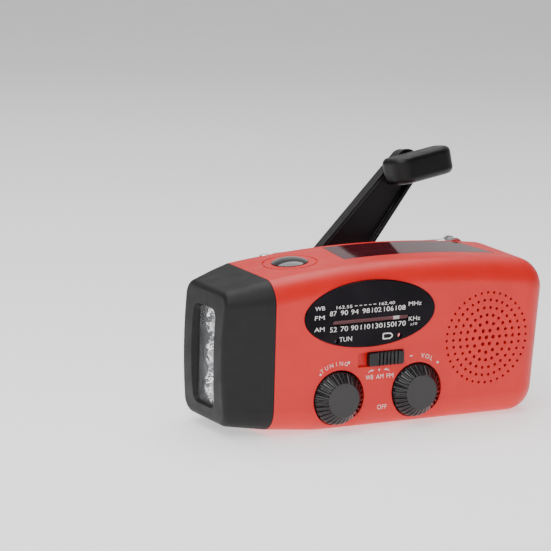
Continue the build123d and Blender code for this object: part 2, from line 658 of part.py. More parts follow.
# ================================================================ band switch
with BuildPart() as band_slider:
    with BuildSketch(at_y(FRONT - 1.2)):
        with Locations((SLIDER_X, SWITCH_SLOT[1])):
            RectangleRounded(SLIDER_LENGTH, SWITCH_SLOT[3] - 0.6, 0.6)
    extrude(amount=-2.3)
    with BuildSketch(at_y(FRONT - 1.2)):
        with Locations((SLIDER_X + 0.75, SWITCH_SLOT[1])):
            with GridLocations(1.5, 1, 6, 1):
                Rectangle(0.8, SWITCH_SLOT[3])
    extrude(amount=-1.0, mode=Mode.SUBTRACT)
    with BuildSketch(at_y(FRONT + 1.1)):
        with Locations((SLIDER_X, SWITCH_SLOT[1])):
            Rectangle(3, 1.8)
    extrude(amount=-4.2)
finish(band_slider.part, "band_slider")

with BuildPart() as band_switch:
    with BuildSketch(at_y(-18.6)):
        with Locations((SLIDER_X - SLIDER_TRAVEL / 2, SWITCH_SLOT[1])):
            Rectangle(13, 6)
    extrude(amount=-(BOARD_Y + 18.6))
    with BuildSketch(at_y(-18.6)):
        with Locations((SLIDER_X - SLIDER_TRAVEL / 2, SWITCH_SLOT[1])):
            Rectangle(SLIDER_TRAVEL + 3.6, 2.4)
    extrude(amount=-2.4, mode=Mode.SUBTRACT)
finish(band_switch.part, "band_switch")

# ================================================================ top controls
with BuildPart() as flashlight_button:
    with BuildSketch(Plane(button_plane.origin, x_dir=(0, 1, 0), z_dir=button_plane.y_dir * -1)):
        with BuildLine():
            ThreePointArc((0, 1.7), (BUTTON_R * 0.6, 1.25), (BUTTON_R, 0.15))
            Polyline(
                (BUTTON_R, 0.15), (BUTTON_R, -2.3), (BUTTON_R + 0.9, -2.3), (BUTTON_R + 0.9, -3.3),
                (1.5, -3.3), (1.5, -4.6), (0, -4.6), (0, 1.7),
            )
        make_face()
    revolve(axis=Axis(button_plane.origin, button_normal))
finish(flashlight_button.part, "flashlight_button")

with BuildPart() as button_switch:
    with BuildSketch(button_plane.offset(-5.9)):
        Rectangle(6, 6)
    extrude(amount=-3.6)
    with BuildSketch(button_plane.offset(-9.5)):
        Rectangle(8.4, 14)
    extrude(amount=-1.2)
finish(button_switch.part, "button_switch")

finish(top_band(grown(SOLAR_PLAN, -0.08), 0.0, SOLAR_T), "solar_window")
finish(top_band(grown(SOLAR_PLAN, -1.2), SOLAR_T + 0.1, SOLAR_T + 0.8), "solar_cell")

# ================================================================ speaker
SPEAKER_Y, MAGNET_Y = -19.5, -11.6
with BuildPart() as speaker_basket:
    with BuildSketch(at_y(SPEAKER_Y)):
        with Locations(SPEAKER):
            Circle(SPEAKER_R)
            Circle(SPEAKER_R - 2.2, mode=Mode.SUBTRACT)
    extrude(amount=-1.6)
    with BuildSketch(at_y(SPEAKER_Y + 1.6)):
        with Locations(SPEAKER):
            Circle(SPEAKER_R)
    with BuildSketch(at_y(MAGNET_Y)):
        with Locations(SPEAKER):
            Circle(10.5)
    loft()
    with BuildSketch(at_y(SPEAKER_Y + 1.6)):
        with Locations(SPEAKER):
            Circle(SPEAKER_R - 2.2)
    with BuildSketch(at_y(MAGNET_Y - 0.8)):
        with Locations(SPEAKER):
            Circle(8.6)
    loft(mode=Mode.SUBTRACT)
finish(speaker_basket.part, "speaker_basket")

with BuildPart() as speaker_cone:
    with BuildSketch(at_y(SPEAKER_Y + 0.8)):
        with Locations(SPEAKER):
            Circle(SPEAKER_R - 2.4)
    with BuildSketch(at_y(MAGNET_Y - 2.0)):
        with Locations(SPEAKER):
            Circle(7.0)
    loft()
    with BuildSketch(at_y(SPEAKER_Y + 0.8)):
        with Locations(SPEAKER):
            Circle(SPEAKER_R - 2.9)
    with BuildSketch(at_y(MAGNET_Y - 2.5)):
        with Locations(SPEAKER):
            Circle(6.5)
    loft(mode=Mode.SUBTRACT)
finish(speaker_cone.part, "speaker_cone")

with BuildPart() as speaker_magnet:
    with BuildSketch(at_y(MAGNET_Y)):
        with Locations(SPEAKER):
            Circle(10)
    extrude(amount=-4.6)
finish(speaker_magnet.part, "speaker_magnet")

# ================================================================ electronics
with BuildPart() as main_board:
    with BuildSketch(at_y(BOARD_Y)):
        with Locations((-9.3, 30)):
            RectangleRounded(54.6, 49, 2)
        with Locations(*BOARD_POSTS):
            Circle(1.0, mode=Mode.SUBTRACT)
    extrude(amount=-BOARD_T)
finish(main_board.part, "main_board")

with BuildPart() as tuner_chips:
    with BuildSketch(at_y(BOARD_Y - 1.8)):
        with Locations((-2, 44)):
            Rectangle(11, 5)
        with Locations((-24, 44), (8, 42)):
            Rectangle(5, 4)
    extrude(amount=-1.8)
finish(tuner_chips.part, "tuner_chips")

ROD_Y, ROD_Z, ROD_R = -1.0, 50.0, 3.5
with BuildPart() as ferrite_rod:
    with BuildSketch(at_x(-22)):
        with Locations((ROD_Y, ROD_Z)):
            Circle(ROD_R)
    extrude(amount=40)
finish(ferrite_rod.part, "ferrite_rod")

with BuildPart() as ferrite_coil:
    with BuildSketch(at_x(-8)):
        with Locations((ROD_Y, ROD_Z)):
            Circle(ROD_R + 0.9)
            Circle(ROD_R, mode=Mode.SUBTRACT)
    extrude(amount=15)
finish(ferrite_coil.part, "ferrite_coil")

with BuildPart() as battery_cell:
    with BuildSketch(at_y(13.9)):
        with Locations((28, 23)):
            RectangleRounded(31, 20, 1.5)
    extrude(amount=-6.6)
    fillet(battery_cell.edges().filter_by(Axis.Z), 1.2)
finish(battery_cell.part, "battery_cell")

PORT_BOARD_Y = 2.4
with BuildPart() as port_board:
    with BuildSketch(at_y(PORT_BOARD_Y)):
        with Locations((50.5, 24)):
            Rectangle(13, 28)
    extrude(amount=-1.2)
finish(port_board.part, "port_board")

with BuildPart() as usb_output_socket:
    with BuildSketch(at_x(44.6)):
        with Locations((-0.5, 18)):
            Rectangle(5.8, 13.2)
    extrude(amount=13.8)
    with BuildSketch(at_x(47)):
        with Locations((-0.5, 18)):
            Rectangle(5.0, 12.4)
            Rectangle(1.9, 11.2, mode=Mode.SUBTRACT)
    extrude(amount=13, mode=Mode.SUBTRACT)
finish(usb_output_socket.part, "usb_output_socket")

with BuildPart() as usb_charge_socket:
    with BuildSketch(at_x(53.5)):
        with Locations((0.8, 32.6)):
            Rectangle(3.2, 8.2)
    extrude(amount=6)
    with BuildSketch(at_x(54.5)):
        with Locations((0.8, 32.6)):
            Rectangle(2.5, 7.5)
            Rectangle(0.7, 5.4, mode=Mode.SUBTRACT)
    extrude(amount=6, mode=Mode.SUBTRACT)
finish(usb_charge_socket.part, "usb_charge_socket")

with BuildPart() as port_flap:
    with BuildSketch(side_plane.offset(-FLAP_T)):
        with Locations((FLAP[2], FLAP[3] - 24)):
            RectangleRounded(FLAP[0] - 0.6, FLAP[1] - 0.6, 2.2)
    extrude(amount=FLAP_T - 0.1)
finish(port_flap.part, "port_flap")

# ================================================================ generator
crank_line = direction((HUB_X, HUB_Z), IDLER)
rotor_line = direction(IDLER, ROTOR)
half_pinion = pi / PINION_TEETH
PINION_BORE = 1.25 + RUN

finish(gear(WHEEL_TEETH, (HUB_X, HUB_Z), crank_line, WHEEL_1_Y, 2.5), "crank_gear")

with BuildPart() as idler_gear:
    add(gear(PINION_TEETH, IDLER, crank_line + pi + half_pinion, WHEEL_1_Y, PINION_BORE))
    add(gear(WHEEL_TEETH, IDLER, rotor_line, WHEEL_2_Y, PINION_BORE))
    with BuildSketch(at_y(WHEEL_2_Y + GEAR_T)):
        with Locations(IDLER):
            Circle(3.1)
            Circle(PINION_BORE, mode=Mode.SUBTRACT)
    extrude(amount=-(WHEEL_1_Y - WHEEL_2_Y - GEAR_T))
finish(idler_gear.part, "idler_gear")

with BuildPart() as idler_shaft:
    with BuildSketch(at_y(PLATE_Y)):
        with Locations(IDLER):
            Circle(1.25)
    extrude(amount=-(BACK - 1 - PLATE_Y))
finish(idler_shaft.part, "idler_shaft")

finish(gear(PINION_TEETH, ROTOR, rotor_line + pi + half_pinion, WHEEL_2_Y, 1.0), "rotor_pinion")

with BuildPart() as gear_plate:
    with BuildSketch(at_y(PLATE_Y)):
        with BuildLine():
            Polyline(
                (13, 37.5), (13, 44.5), (-16.5, 56), (-23.5, 56), (-42, 33), (-42, 26),
                (-36, 14), (-34, 6.5), (-12, 6.5), (-6, 13), (-6, 22), close=True,
            )
        make_face()
        with Locations(IDLER):
            Circle(1.25, mode=Mode.SUBTRACT)
        with Locations(ROTOR):
            Circle(3.0, mode=Mode.SUBTRACT)
        with Locations(*PLATE_POSTS):
            Circle(1.0, mode=Mode.SUBTRACT)
    extrude(amount=-PLATE_T)
finish(gear_plate.part, "gear_plate")

# the small screws of the board and of the gear plate are all alike
SMALL_SCREW = (1.9, 0.9, 1.0, 6.5)
with BuildPart() as small_screws:
    add(turned_screws(BOARD_POSTS, BOARD_Y + BOARD_T, *SMALL_SCREW, towards_back=True))
    add(turned_screws(PLATE_POSTS, PLATE_Y, *SMALL_SCREW, towards_back=False))
finish(small_screws.part, "small_screws")

GENERATOR_R, GENERATOR_FRONT_Y = 12.0, -7.0
with BuildPart() as generator_housing:
    with BuildSketch(at_y(GENERATOR_FRONT_Y)):
        with Locations(ROTOR):
            Circle(GENERATOR_R)
    extrude(amount=-(PLATE_Y - GENERATOR_FRONT_Y))
    with BuildSketch(at_y(GENERATOR_FRONT_Y + 1)):
        with Locations(ROTOR):
            Circle(GENERATOR_R - 0.8)
    extrude(amount=-(PLATE_Y - GENERATOR_FRONT_Y - 2), mode=Mode.SUBTRACT)
    with BuildSketch(at_y(GENERATOR_FRONT_Y)):
        with Locations(ROTOR):
            Circle(1.0 + RUN)
    extrude(amount=-(PLATE_Y - GENERATOR_FRONT_Y), mode=Mode.SUBTRACT)
finish(generator_housing.part, "generator_housing")

with BuildPart() as generator_coil:
    with BuildSketch(at_y(GENERATOR_FRONT_Y + 1.6)):
        with Locations(ROTOR):
            Circle(GENERATOR_R - 0.8)
            Circle(8.6, mode=Mode.SUBTRACT)
    extrude(amount=-8.6)
finish(generator_coil.part, "generator_coil")

with BuildPart() as generator_rotor:
    with BuildSketch(at_y(GENERATOR_FRONT_Y + 1.8)):
        with Locations(ROTOR):
            Circle(8.2)
    extrude(amount=-8.2)
    with BuildSketch(at_y(GENERATOR_FRONT_Y + 0.2)):
        with Locations(ROTOR):
            Circle(1.0)
    extrude(amount=-(WHEEL_2_Y + GEAR_T - GENERATOR_FRONT_Y - 0.2))
finish(generator_rotor.part, "generator_rotor")

# ================================================================ crank
HUB_DISC_Y, HUB_DISC_T = WELL_FLOOR_Y + 0.3, 3.3
with BuildPart() as crank_hub:
    with BuildSketch(hub_plane.offset(HUB_DISC_Y)):
        Circle(HUB_R)
    extrude(amount=HUB_DISC_T)
    fillet(crank_hub.edges().filter_by(GeomType.CIRCLE).sort_by(Axis.Y)[-1], 0.6)
    lug_plane = Plane(origin=(HUB_X, HINGE_Y, HUB_Z), x_dir=hub_plane.x_dir, z_dir=hub_plane.y_dir * -1)
    with BuildSketch(lug_plane):
        Circle(EAR_R)
        with Locations((0, -(HINGE_Y - HUB_DISC_Y - 1) / 2)):
            Rectangle(2 * EAR_R, HINGE_Y - HUB_DISC_Y - 1)
    extrude(amount=LUG_HALF, both=True)
    with BuildSketch(lug_plane):
        Circle(1.25)
    extrude(amount=LUG_HALF + 1, both=True, mode=Mode.SUBTRACT)
finish(crank_hub.part, "crank_hub")

with BuildPart() as crank_shaft:
    with BuildSketch(at_y(WHEEL_1_Y - 1.4)):
        with Locations((HUB_X, HUB_Z)):
            Circle(2.5)
    extrude(amount=-(HUB_DISC_Y - WHEEL_1_Y + 1.4))
    with BuildSketch(at_y(WHEEL_1_Y - 0.9)):
        with Locations((HUB_X, HUB_Z)):
            Circle(2.6)
            Circle(1.9, mode=Mode.SUBTRACT)
    extrude(amount=-0.7, mode=Mode.SUBTRACT)
finish(crank_shaft.part, "crank_shaft")

with BuildPart() as retaining_ring:
    with BuildSketch(at_y(WHEEL_1_Y - 0.85)):
        with Locations((HUB_X, HUB_Z)):
            Circle(3.2)
            Circle(1.95, mode=Mode.SUBTRACT)
            with Locations((2.5, 0)):
                Rectangle(3, 2.4, mode=Mode.SUBTRACT)
    extrude(amount=-0.6)
finish(retaining_ring.part, "retaining_ring")

with BuildPart() as hinge_pin:
    with BuildSketch(lug_plane):
        Circle(1.25)
    extrude(amount=ARM_ROOT_HALF - 0.6, both=True)
finish(hinge_pin.part, "hinge_pin")

RIM_W, CHANNEL_DEPTH = 1.3, 1.6


def arm_outline(inset, start):
    """Tapered arm with a round tip, in the arm's own plane, from start to the tip."""
    slope = (ARM_ROOT_HALF - ARM_TIP_R) / ARM_LENGTH
    root_half = ARM_ROOT_HALF - slope * start - inset
    tip_r = ARM_TIP_R - inset
    with BuildSketch() as outline:
        with BuildLine():
            Polyline((ARM_LENGTH, -tip_r), (start, -root_half), (start, root_half), (ARM_LENGTH, tip_r))
            ThreePointArc((ARM_LENGTH, tip_r), (ARM_LENGTH + tip_r, 0), (ARM_LENGTH, -tip_r))
        make_face()
    return outline.sketch


with BuildPart() as crank_arm:
    with BuildSketch(arm_plane):
        add(arm_outline(0, 0))
    extrude(amount=ARM_T / 2, both=True)
    ear_plane = Plane(origin=arm_plane.origin, x_dir=along, z_dir=across * -1)
    with BuildSketch(ear_plane):
        Circle(EAR_R)
    extrude(amount=ARM_ROOT_HALF, both=True)
    with BuildSketch(arm_plane.offset(-5)):
        Rectangle(2 * EAR_R + 2, 2 * LUG_HALF + 0.6)
    extrude(amount=10, mode=Mode.SUBTRACT)
    with BuildSketch(ear_plane):
        Circle(1.25 + RUN)
    extrude(amount=ARM_ROOT_HALF + 1, both=True, mode=Mode.SUBTRACT)
    with BuildSketch(arm_plane.offset(-ARM_T / 2)):
        add(arm_outline(RIM_W, 7))
        with Locations((ARM_LENGTH, 0)):
            Circle(3.4, mode=Mode.SUBTRACT)
    extrude(amount=CHANNEL_DEPTH, mode=Mode.SUBTRACT)
    with BuildSketch(arm_plane.offset(-ARM_T)):
        with Locations((ARM_LENGTH, 0)):
            Circle(2.0)
    extrude(amount=2 * ARM_T, mode=Mode.SUBTRACT)
finish(crank_arm.part, "crank_arm")

with BuildPart() as grip_pin:
    with BuildSketch(arm_plane.offset(ARM_T / 2)):
        with Locations((ARM_LENGTH, 0)):
            Circle(3.2)
    extrude(amount=0.7)
    fillet(grip_pin.faces().sort_by(Axis.Y)[-1].edges(), 0.5)
    with BuildSketch(arm_plane.offset(ARM_T / 2)):
        with Locations((ARM_LENGTH, 0)):
            Circle(2.0)
    extrude(amount=-(ARM_T + GRIP_GAP + GRIP_DEPTH - 3))
finish(grip_pin.part, "grip_pin")

grip_along = along * cos(radians(GRIP_TURN)) + across * sin(radians(GRIP_TURN))
inward = outward * -1
grip_foot = arm_plane.origin + along * ARM_LENGTH + inward * (ARM_T / 2 + GRIP_GAP)
grip_plane = Plane(origin=grip_foot, x_dir=grip_along, z_dir=grip_along.cross(inward))
with BuildPart() as crank_grip:
    with BuildSketch(grip_plane) as grip_plan:
        with Locations((0, GRIP_DEPTH / 2)):
            Rectangle(GRIP_LENGTH, GRIP_DEPTH)
        fillet(grip_plan.vertices().group_by(Axis.Y)[-1], 6.5)
        fillet(grip_plan.vertices().group_by(Axis.Y)[0], 3.2)
    extrude(amount=GRIP_THICK / 2, both=True)
    fillet(crank_grip.faces().filter_by(grip_plane).edges(), 2.2)
    with BuildSketch(Plane(origin=grip_foot, x_dir=grip_along, z_dir=inward)):
        Circle(2.0 + RUN)
    extrude(amount=GRIP_DEPTH - 2.4, mode=Mode.SUBTRACT)
finish(crank_grip.part, "crank_grip")

# ================================================================ antenna
KNUCKLE_R, CHEEK_T, TONGUE_HALF = 2.6, 1.1, 1.4
with BuildPart() as antenna_bracket:
    with BuildSketch(at_y(ANTENNA_Y)):
        with Locations((ANTENNA_X, ANTENNA_Z)):
            Circle(KNUCKLE_R + 0.2)
        with Locations((ANTENNA_X, ANTENNA_Z - 2.55)):
            Rectangle(2 * KNUCKLE_R + 0.4, 5.1)
    extrude(amount=TONGUE_HALF + 0.3 + CHEEK_T, both=True)
    with BuildSketch(at_y(ANTENNA_Y)):
        with Locations((ANTENNA_X, ANTENNA_Z + 2.3)):
            Rectangle(12, 10.6)
    extrude(amount=TONGUE_HALF + 0.3, both=True, mode=Mode.SUBTRACT)
    with BuildSketch(at_y(ANTENNA_Y)):
        with Locations((ANTENNA_X, ANTENNA_Z)):
            Circle(0.8)
    extrude(amount=DEPTH, both=True, mode=Mode.SUBTRACT)
finish(antenna_bracket.part, "antenna_bracket")

with BuildPart() as antenna_pin:
    with BuildSketch(at_y(ANTENNA_Y)):
        with Locations((ANTENNA_X, ANTENNA_Z)):
            Circle(0.8)
    extrude(amount=TONGUE_HALF + 0.3 + CHEEK_T, both=True)
finish(antenna_pin.part, "antenna_pin")

TUBE_START_X = ANTENNA_X - 3.6
with BuildPart() as antenna_section_1:
    with BuildSketch(at_y(ANTENNA_Y)):
        with Locations((ANTENNA_X, ANTENNA_Z)):
            Circle(KNUCKLE_R)
        with Locations((ANTENNA_X - 2.4, ANTENNA_Z)):
            Rectangle(4.8, 3.6)
    extrude(amount=TONGUE_HALF, both=True)
    with BuildSketch(at_y(ANTENNA_Y)):
        with Locations((ANTENNA_X, ANTENNA_Z)):
            Circle(0.8 + RUN)
    extrude(amount=DEPTH, both=True, mode=Mode.SUBTRACT)
    with BuildSketch(at_x(TUBE_START_X)):
        with Locations((ANTENNA_Y, ANTENNA_Z)):
            Circle(ANTENNA_RADII[0])
    extrude(amount=-(TUBE_START_X - ANTENNA_TIP_X))
    with BuildSketch(at_x(TUBE_START_X - 1.5)):
        with Locations((ANTENNA_Y, ANTENNA_Z)):
            Circle(ANTENNA_RADII[0] - TUBE_WALL)
    extrude(amount=-LENGTH, mode=Mode.SUBTRACT)
finish(antenna_section_1.part, "antenna_section_1")

for section in range(1, 5):
    radius = ANTENNA_RADII[section]
    end_x = ANTENNA_TIP_X - TUBE_STEP * section
    with BuildPart() as tube:
        with BuildSketch(at_x(TUBE_START_X - 2.2 - section)):
            with Locations((ANTENNA_Y, ANTENNA_Z)):
                Circle(radius)
                if section < 4:
                    Circle(radius - TUBE_WALL, mode=Mode.SUBTRACT)
        extrude(amount=-(TUBE_START_X - 2.2 - section - end_x))
    finish(tube.part, f"antenna_section_{section + 1}")

with BuildPart() as antenna_tip:
    with BuildSketch(at_x(ANTENNA_TIP_X - 4 * TUBE_STEP)):
        with Locations((ANTENNA_Y, ANTENNA_Z)):
            Circle(2.2)
    extrude(amount=-3.4)
    fillet(antenna_tip.edges().filter_by(GeomType.CIRCLE).sort_by(Axis.X)[0], 1.2)
finish(antenna_tip.part, "antenna_tip")
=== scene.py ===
import math

import bmesh
import bpy
from mathutils import Matrix, Vector


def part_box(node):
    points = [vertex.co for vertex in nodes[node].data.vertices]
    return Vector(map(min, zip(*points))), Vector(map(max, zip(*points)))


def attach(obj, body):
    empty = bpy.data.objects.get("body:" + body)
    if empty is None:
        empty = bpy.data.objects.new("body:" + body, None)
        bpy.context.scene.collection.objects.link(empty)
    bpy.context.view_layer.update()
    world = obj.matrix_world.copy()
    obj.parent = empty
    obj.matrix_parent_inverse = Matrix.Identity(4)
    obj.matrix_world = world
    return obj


# Looks of the hand-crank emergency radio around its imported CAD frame. Everything is in metres, and mm()
# turns millimetres into metres. X runs from the lamp to the speaker, -Y is the front and Z is up.

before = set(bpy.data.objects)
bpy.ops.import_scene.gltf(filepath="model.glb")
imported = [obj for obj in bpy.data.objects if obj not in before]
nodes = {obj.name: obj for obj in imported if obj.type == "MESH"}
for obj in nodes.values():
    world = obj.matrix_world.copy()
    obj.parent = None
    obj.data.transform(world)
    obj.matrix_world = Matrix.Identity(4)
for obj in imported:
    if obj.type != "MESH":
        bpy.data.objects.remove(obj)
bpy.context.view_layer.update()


def mm(*values):
    """Millimetres as metres: one number, or a tuple of them."""
    return values[0] / 1000 if len(values) == 1 else tuple(value / 1000 for value in values)


FRONT_Y = mm(-22.5)
KNOB_CAP_Y = FRONT_Y - mm(3.93)      # in front of this a knob is cap, behind it flutes
PRINT_LIFT = mm(0.02)                # how far a print stands proud of its surface
AZIMUTH = math.radians(28.5)         # how far the camera stands round towards the lamp end
LENS_FACE_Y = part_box("dial_lens")[0][1]
SLOT_Z, SLOT_FROM_X, SLOT_TO_X, SLOT_HALF = mm(40.2, -25.2, 6.3, 0.85)
INDICATORS = [mm(-23.6, 33.7), mm(2.3, 33.7)]
INDICATOR_HOLE_R = mm(0.95)


# ---------------------------------------------------------------- materials
class Shading:
    """A node material while it is put together. Its coordinates are metres in the row frame."""

    def __init__(self, name):
        self.material = bpy.data.materials.new(name)
        self.material.use_nodes = True
        self.tree = self.material.node_tree
        self.surface = self.tree.nodes["Principled BSDF"]
        self.place = self.tree.nodes.new("ShaderNodeTexCoord").outputs["Object"]

    def set(self, **values):
        for name, value in values.items():
            self.surface.inputs[name.replace("_", " ")].default_value = value
        return self

    def link(self, output, name):
        self.tree.links.new(output, self.surface.inputs[name])

    def _feed(self, socket, value):
        if isinstance(value, bpy.types.NodeSocket):
            self.tree.links.new(value, socket)
        else:
            socket.default_value = value

    def maths(self, operation, *values):
        node = self.tree.nodes.new("ShaderNodeMath")
        node.operation = operation
        for index, value in enumerate(values):
            self._feed(node.inputs[index], value)
        return node.outputs[0]

    def length(self, first, second):
        """Length of the diagonal of two distances."""
        squares = [self.maths("MULTIPLY", value, value) for value in (first, second)]
        return self.maths("SQRT", self.maths("ADD", *squares))

    def noise(self, size, detail=3.0, stretch=(1, 1, 1)):
        """Noise whose blobs are about size metres across."""
        mapping = self.tree.nodes.new("ShaderNodeMapping")
        mapping.inputs["Scale"].default_value = stretch
        self.tree.links.new(self.place, mapping.inputs["Vector"])
        node = self.tree.nodes.new("ShaderNodeTexNoise")
        node.inputs["Scale"].default_value = 1 / size
        node.inputs["Detail"].default_value = detail
        self.tree.links.new(mapping.outputs["Vector"], node.inputs["Vector"])
        return node.outputs["Fac"]

    def spread(self, value, low, high, start=0.3, end=0.7):
        """value from start..end as low..high."""
        node = self.tree.nodes.new("ShaderNodeMapRange")
        for name, number in (("From Min", start), ("From Max", end), ("To Min", low), ("To Max", high)):
            node.inputs[name].default_value = number
        self.tree.links.new(value, node.inputs["Value"])
        return node.outputs["Result"]

    def blend(self, share, first, second):
        """The first colour turning into the second as share goes from 0 to 1."""
        node = self.tree.nodes.new("ShaderNodeMix")
        node.data_type = "RGBA"
        self._feed(node.inputs["Factor"], share)
        self._feed(node.inputs[6], first)
        self._feed(node.inputs[7], second)
        return node.outputs[2]

    def parts(self):
        node = self.tree.nodes.new("ShaderNodeSeparateXYZ")
        self.tree.links.new(self.place, node.inputs[0])
        return node.outputs[0], node.outputs[1], node.outputs[2]

    def rounded(self, radius):
        """Softened normal near edges, and how much an edge is worn there."""
        bevel = self.tree.nodes.new("ShaderNodeBevel")
        bevel.samples = 6
        bevel.inputs["Radius"].default_value = radius
        flat = self.tree.nodes.new("ShaderNodeNewGeometry").outputs["Normal"]
        dot = self.tree.nodes.new("ShaderNodeVectorMath")
        dot.operation = "DOT_PRODUCT"
        self.tree.links.new(bevel.outputs["Normal"], dot.inputs[0])
        self.tree.links.new(flat, dot.inputs[1])
        return bevel.outputs["Normal"], self.spread(dot.outputs["Value"], 1.0, 0.0, 0.72, 0.98)

    def bump(self, height, strength, depth, normal=None):
        node = self.tree.nodes.new("ShaderNodeBump")
        node.inputs["Strength"].default_value = strength
        node.inputs["Distance"].default_value = depth
        self.tree.links.new(height, node.inputs["Height"])
        if normal is not None:
            self.tree.links.new(normal, node.inputs["Normal"])
        return node.outputs["Normal"]


def rgb(red, green, blue):
    return (red, green, blue, 1.0)


def shade(colour, factor):
    """The colour made lighter or darker."""
    return tuple(min(1.0, channel * factor) for channel in colour[:3]) + (1.0,)


def moulded(name, colour, rough, grain=0.00035, depth=0.00002, strength=0.4, tone=0.08, edge=0.0003,
            wear=0.25, wear_colour=None, **settings):
    """Moulded plastic, rubber or metal: fine grain, slow changes of tone and gloss, and rubbed edges."""
    made = Shading(name)
    cloud = made.noise(0.018)
    colour_now = made.blend(made.spread(cloud, 0, 1), shade(colour, 1 - tone), shade(colour, 1 + tone))
    speck = made.noise(grain * 1.7, 2.0)
    specks = made.spread(speck, 0.0, 0.35, 0.45, 0.75)
    colour_now = made.blend(specks, colour_now, shade(colour, 1 - 2 * tone))
    normal, worn = made.rounded(edge)
    rub = made.maths("MULTIPLY", worn, made.spread(made.noise(0.004), 0.1, wear))
    colour_now = made.blend(rub, colour_now, wear_colour or shade(colour, 2.2))
    made.link(colour_now, "Base Color")
    gloss = made.spread(made.noise(0.006, 4.0), rough - 0.05, rough + 0.06)
    made.link(made.maths("SUBTRACT", gloss, made.maths("MULTIPLY", rub, 0.12)), "Roughness")
    made.link(made.bump(made.noise(grain), strength, depth, normal), "Normal")
    made.set(**settings)
    return made


def brushed(name, colour, rough, axis_stretch, edge=0.0002, **settings):
    """Metal with fine drawing lines along one axis."""
    made = Shading(name)
    lines = made.noise(0.0006, 4.0, axis_stretch)
    tint = made.blend(made.spread(lines, 0, 1), shade(colour, 0.86), shade(colour, 1.08))
    smudge = made.noise(0.01, 3.0)
    made.link(made.blend(made.spread(smudge, 0, 0.3), tint, shade(colour, 0.75)), "Base Color")
    normal, _ = made.rounded(edge)
    gloss = made.spread(smudge, rough - 0.04, rough + 0.08)
    made.link(made.maths("ADD", gloss, made.spread(lines, -0.03, 0.05)), "Roughness")
    made.link(made.bump(lines, 0.12, 0.000004, normal), "Normal")
    made.set(Metallic=1.0, **settings)
    return made


def paint(made, *names):
    """Gives a finished material to CAD nodes."""
    for name in names:
        slots = nodes[name].data.materials
        if len(slots) == 0:
            slots.append(made.material)
        for index in range(len(slots)):
            slots[index] = made.material


RED = rgb(0.80, 0.008, 0.006)
red = moulded("red_soft_plastic", RED, 0.42, grain=0.00028, depth=0.00001, tone=0.05, wear=0.3,
              wear_colour=rgb(0.9, 0.08, 0.06), Coat_Weight=0.06, Coat_Roughness=0.35)
paint(red, "front_shell", "rear_shell")

rubber = moulded("black_rubber", rgb(0.009, 0.0088, 0.0095), 0.55, grain=0.0004, depth=0.000016, tone=0.12,
                 edge=0.0006, wear=0.35, Specular_IOR_Level=0.35)
paint(rubber, "lamp_bezel", "port_flap")
grip_rubber = moulded("grip_plastic", rgb(0.006, 0.0055, 0.0065), 0.4, grain=0.0005, depth=0.00001, tone=0.1,
                      edge=0.0006, wear=0.4, Specular_IOR_Level=0.35)
paint(grip_rubber, "crank_grip")

black = moulded("black_plastic", rgb(0.0075, 0.006, 0.0072), 0.36, grain=0.0004, depth=0.000008, tone=0.1,
                edge=0.0005, wear=0.6, wear_colour=rgb(0.2, 0.2, 0.205), Specular_IOR_Level=0.4)
paint(black, "crank_arm", "crank_hub", "band_slider", "tuning_capacitor", "volume_potentiometer",
      "band_switch", "button_switch", "tuner_chips")

dome = moulded("button_gloss", rgb(0.004, 0.0038, 0.0042), 0.09, grain=0.002, depth=0.000005, strength=0.1,
               tone=0.1, edge=0.0002, wear=0.2, Coat_Weight=0.6, Coat_Roughness=0.04)
paint(dome, "flashlight_button")


def knob_material():
    """Gloss flutes around a matte cap with a fine spun grain."""
    made = Shading("knob_gloss")
    _, y, _ = made.parts()
    cap = made.maths("LESS_THAN", y, KNOB_CAP_Y)
    cloud = made.noise(0.006)
    side = made.blend(made.spread(cloud, 0, 1), rgb(0.007, 0.007, 0.008), rgb(0.014, 0.014, 0.016))
    speck = made.noise(0.00025, 3.0)
    top = made.blend(made.spread(speck, 0, 1), rgb(0.026, 0.026, 0.027), rgb(0.05, 0.049, 0.05))
    normal, worn = made.rounded(0.00015)
    base = made.blend(cap, side, top)
    rub = made.maths("MULTIPLY", worn, made.spread(made.noise(0.002), 0.0, 0.4))
    made.link(made.blend(rub, base, rgb(0.1, 0.1, 0.105)), "Base Color")
    gloss = made.spread(cloud, 0.1, 0.2)
    matte = made.spread(speck, 0.48, 0.6)
    shine = made.tree.nodes.new("ShaderNodeMix")
    for index, value in ((0, cap), (2, gloss), (3, matte)):
        made.tree.links.new(value, shine.inputs[index])
    made.link(shine.outputs[0], "Roughness")
    made.link(made.bump(speck, 0.3, 0.000008, normal), "Normal")
    return made


paint(knob_material(), "tuning_knob", "volume_knob")


